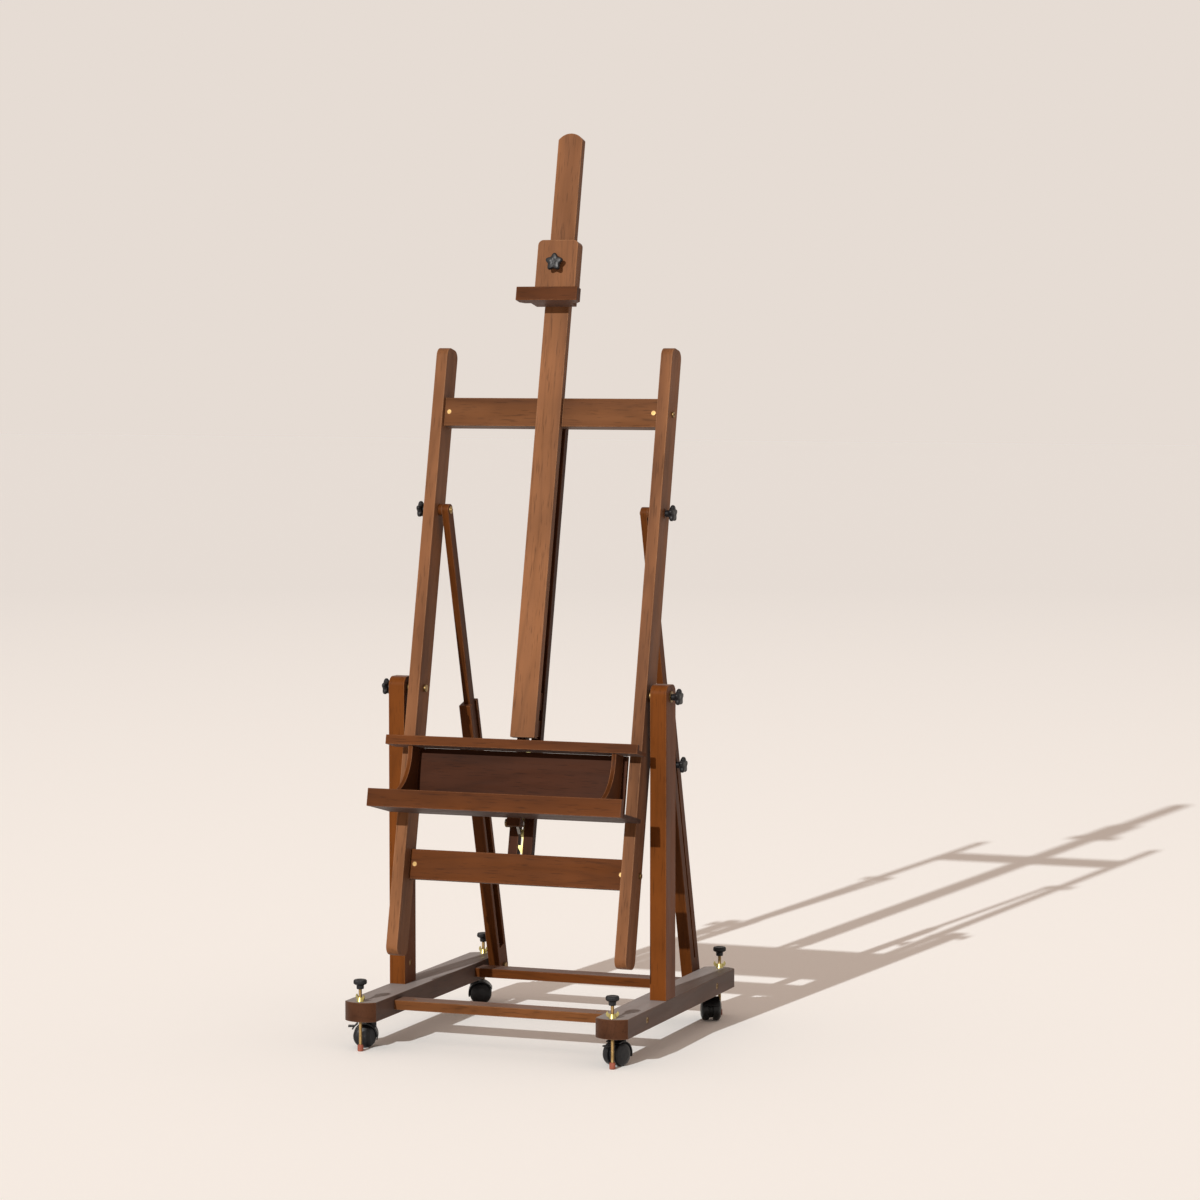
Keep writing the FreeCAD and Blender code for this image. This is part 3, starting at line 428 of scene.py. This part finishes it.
def turned_piece(name, corners, radius, centre, axis, material, body, columns, lobing=None):
    """A turned solid piece: a softened profile between its two ends, with a cap at each."""
    profile = softened(corners, radius)
    points = carried_round(profile, columns, centre, axis, lobing)
    rows = len(profile)
    caps = (range(columns)[::-1], range((rows - 1) * columns, rows * columns))
    return surface(name, points, grid_faces(rows, columns), material, body, caps)


HUB = 0.009
DISC = 0.009
KNOB_PITCH = 0.00125


def five_lobes(height, turn):
    """Radius times 1 - 0.30 (1/2 - 1/2 sin 5a)^0.95, so one lobe points up; the hub stays round."""
    share = np.clip((height - HUB + 0.0008) / 0.0016, 0, 1)
    dip = 0.30 * (0.5 - 0.5 * np.sin(5 * turn)) ** 0.95
    return 1 - share * dip


def threaded_screw(name, centre, axis, radius, low, high, pitch, body):
    """A screw: its radius is a triangle wave of height over pitch less the turn."""
    columns = 24
    rows = int((high - low) / pitch * 6) + 2
    first, second, third = axis_frame(axis)
    height, turn = np.meshgrid(np.linspace(low, high, rows),
                               np.linspace(0, 2 * math.pi, columns, endpoint=False), indexing="ij")
    phase = (height / pitch - turn / (2 * math.pi)) % 1.0
    crest = radius - 0.11 * pitch * 4 * (0.5 - np.abs(phase - 0.5))
    points = (np.array(centre) + (crest * np.cos(turn))[..., None] * first
              + (crest * np.sin(turn))[..., None] * second + height[..., None] * third)
    points = points.reshape(-1, 3)
    caps = (range(columns)[::-1], range((rows - 1) * columns, rows * columns))
    return surface(name, points, grid_faces(rows, columns), brass, body, caps)


def star_knob(node, body, centre, axis, radius, screw_radius, screw_length):
    """A five-lobed knob with a dished face on its screw, in place of the plain CAD knob."""
    top = HUB + DISC
    corners = [
        (screw_radius, 0), (0.0056, 0), (0.0060, 0.0010), (0.0062, HUB - 0.0012),
        (radius * 0.80, HUB), (radius, HUB + 0.0024), (radius, top - 0.0028),
        (radius * 0.86, top - 0.0006), (radius * 0.45, top), (0.0026, top - 0.0004),
        (0.0010, top - 0.0003),
    ]
    knob = turned_piece(f"{node}_moulding", corners, 0.0011, centre, axis, black_plastic, body,
                        100, five_lobes)
    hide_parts(node)
    if screw_length:
        screw = threaded_screw(f"{node}_screw", centre, axis, screw_radius, -screw_length, 0.002,
                               KNOB_PITCH, body)
        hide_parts(node)


def node_middle(node):
    """The middle of a node's box, as an array."""
    low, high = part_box(node)
    return np.array((low + high) / 2)


MAST_BACK = np.array([0, math.cos(MAST_LEAN), -math.sin(MAST_LEAN)])
GAP = 0.0003
WASHER = 0.0015
KNOB_RADIUS = 0.0155
HOLDER_KNOB_RADIUS = 0.017
CLAMP_SCREW = 0.003
PIVOT_SCREW = 0.004
STRUT_TOP_SCREW_LENGTH = 0.0315
HOLDER_SCREW_LENGTH = 0.018
LOCK_SCREW_LENGTH = 0.0349


def side_knob(node, body, side, hub_x, screw_radius, screw_length):
    """A knob whose screw lies across the easel, at its CAD node's height and depth."""
    centre = node_middle(node)
    centre[0] = side * hub_x
    star_knob(node, body, centre, (side, 0, 0), KNOB_RADIUS, screw_radius, screw_length)
    return centre


mast_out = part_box("mast_right")[1].x
post_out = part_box("post_right")[1].x
strut_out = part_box("strut_lower_right")[1].x
strut_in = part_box("strut_upper_right")[0].x
for name, side in (("left", -1), ("right", 1)):
    side_knob(f"tilt_knob_{name}", f"tilt_knob_{name}_body", side, post_out + WASHER + GAP,
              PIVOT_SCREW, 0)
    side_knob(f"strut_top_knob_{name}", f"strut_top_knob_{name}_body", side,
              mast_out + WASHER + GAP, CLAMP_SCREW, STRUT_TOP_SCREW_LENGTH)
    side_knob(f"strut_clamp_knob_{name}", f"strut_clamp_knob_{name}_body", side, strut_out + GAP,
              CLAMP_SCREW, strut_out + GAP - strut_in + 0.001)


def along_mast_knob(node, body, outward, radius, screw_radius, reach):
    """A knob whose screw lies across the mast's faces; its hub starts where the CAD knob's does."""
    spots = np.array([vertex.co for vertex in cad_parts[node].data.vertices])
    depth = spots @ outward
    middle = node_middle(node)
    hub = middle + outward * (depth.max() - HUB - DISC - middle @ outward)
    star_knob(node, body, hub, outward, radius, screw_radius, reach)


along_mast_knob("holder_knob", "holder_knob_body", -MAST_BACK, HOLDER_KNOB_RADIUS, CLAMP_SCREW,
                HOLDER_SCREW_LENGTH)
along_mast_knob("mast_lock_knob", "mast_lock_knob_body", MAST_BACK, KNOB_RADIUS, PIVOT_SCREW,
                LOCK_SCREW_LENGTH)


# Strut tops. A brassed tee nut is pressed on each upper strut's inner face, in line with the screw
# of the knob outside the mast.

for name, side in (("left", -1), ("right", 1)):
    mast_spot = node_middle(f"strut_top_knob_{name}")
    corners = [
        (0.0008, 0), (0.0072, 0), (0.0072, 0.0012), (0.0042, 0.0016), (0.0040, 0.0030),
        (0.0022, 0.0034), (0.0020, 0.0012), (0.0006, 0.0010),
    ]
    centre = (side * strut_in, mast_spot[1], mast_spot[2])
    tee_nut = turned_piece(f"strut_tee_nut_{name}", corners, 0.0004, centre, (-side, 0, 0), brass,
                           f"strut_upper_{name}_body", 32)


# Levellers and wing nuts. Each leveller is a brassed screwed rod with a knurled black hand knob on
# top and a red-brown rubber cap on the floor. A yellow plated wing nut locks it on the foot.

CAP_RUBBER = (0.20, 0.055, 0.032)
cap_rubber = moulded_plastic("cap_rubber", CAP_RUBBER, 0.62)
CORNERS = {
    "front_left": (-1, -1), "front_right": (1, -1), "rear_left": (-1, 1), "rear_right": (1, 1),
}
LEVELLER_X = 0.239
LEVELLER_Y = 0.2855
ROD_RADIUS = 0.003
ROD_PITCH = 0.001
CAP_HIGH = 0.012
KNOB_TOP = 0.1287
KNURLS = 30


def knurled(height, turn):
    """Radius times 1 + 0.022 (cos 30a - 1) at the rim, 30 knurls; the hub below stays round."""
    share = np.clip((height - (KNOB_TOP - 0.0088)) / 0.0014, 0, 1)
    return 1 + share * 0.022 * (np.cos(KNURLS * turn) - 1)


for corner, (side, end) in CORNERS.items():
    node = f"leveller_{corner}"
    body = f"{node}_body"
    foot_spot = (side * LEVELLER_X, end * LEVELLER_Y, 0)
    up = (0, 0, 1)
    low = KNOB_TOP - 0.017
    disc = KNOB_TOP - 0.009
    corners = [
        (ROD_RADIUS, low), (0.0062, low), (0.0065, low + 0.001), (0.0067, disc - 0.001),
        (0.0095, disc), (0.0120, disc + 0.0018), (0.0120, KNOB_TOP - 0.0022), (0.0104, KNOB_TOP),
        (0.0060, KNOB_TOP - 0.0002), (0.0052, KNOB_TOP - 0.0010), (0.0008, KNOB_TOP - 0.0010),
    ]
    hand_knob = turned_piece(f"{node}_knob", corners, 0.0010, foot_spot, up, black_plastic, body,
                             180, knurled)
    corners = [
        (0.0006, 0), (0.0046, 0), (0.0054, 0.0010), (0.0054, 0.0095), (0.0044, CAP_HIGH),
        (0.0031, CAP_HIGH),
    ]
    cap = turned_piece(f"{node}_cap", corners, 0.0007, foot_spot, up, cap_rubber, body, 48)
    screw = threaded_screw(f"{node}_rod", foot_spot, up, ROD_RADIUS, CAP_HIGH - 0.002, low + 0.004,
                           ROD_PITCH, body)
    for piece, slot in ((hand_knob, "black_plastic"), (cap, "black_plastic"), (screw, "brass")):
        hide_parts(node)
    dress(f"wing_nut_{corner}", yellow_zinc)


# Casters. Each has a black hood on a swivel stem over two domed nylon wheels on one axle. The front
# pair has a brake lever that presses on the wheels' treads.

for corner in CORNERS:
    dress(f"caster_hood_{corner}", black_plastic)
    dress(f"caster_wheels_{corner}", black_nylon)
for corner in ("front_left", "front_right"):
    dress(f"brake_lever_{corner}", black_plastic)


# Pawl spring. A brass torsion spring of round wire is wound on the pawl's pin, beside the pawl,
# in place of the plain CAD coil.

def swept_wire(name, path, radius, material, body, columns=12):
    """A wire: point = path + r cos a u + r sin a v, with u and v square to the path there."""
    along = np.gradient(path, axis=0)
    along /= np.linalg.norm(along, axis=1)[:, None]
    helper = np.array([1.0, 0, 0])
    first = np.cross(along, helper)
    first /= np.linalg.norm(first, axis=1)[:, None]
    second = np.cross(along, first)
    turn = np.linspace(0, 2 * math.pi, columns, endpoint=False)
    spokes = (np.cos(turn)[None, :, None] * first[:, None]
              + np.sin(turn)[None, :, None] * second[:, None])
    rings = path[:, None] + radius * spokes
    rows = len(path)
    caps = (range(columns)[::-1], range((rows - 1) * columns, rows * columns))
    return surface(name, rings.reshape(-1, 3), grid_faces(rows, columns), material, body, caps)


COILS = 6
COIL_RADIUS = 0.0078
WIRE = 0.00085
low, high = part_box("pawl_spring")
pin_low, pin_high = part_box("pawl_pin")
pin = (pin_low + pin_high) / 2
coil_radius = COIL_RADIUS - WIRE
angle = np.linspace(0, COILS * 2 * math.pi, COILS * 36)
reach = np.linspace(low.x + WIRE, high.x - WIRE, len(angle))
coil_path = np.stack([
    reach,
    pin.y + coil_radius * np.cos(angle),
    pin.z + coil_radius * np.sin(angle),
], axis=1)
spring = swept_wire("pawl_spring_wire", coil_path, WIRE, brass, "tray")
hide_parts("pawl_spring")
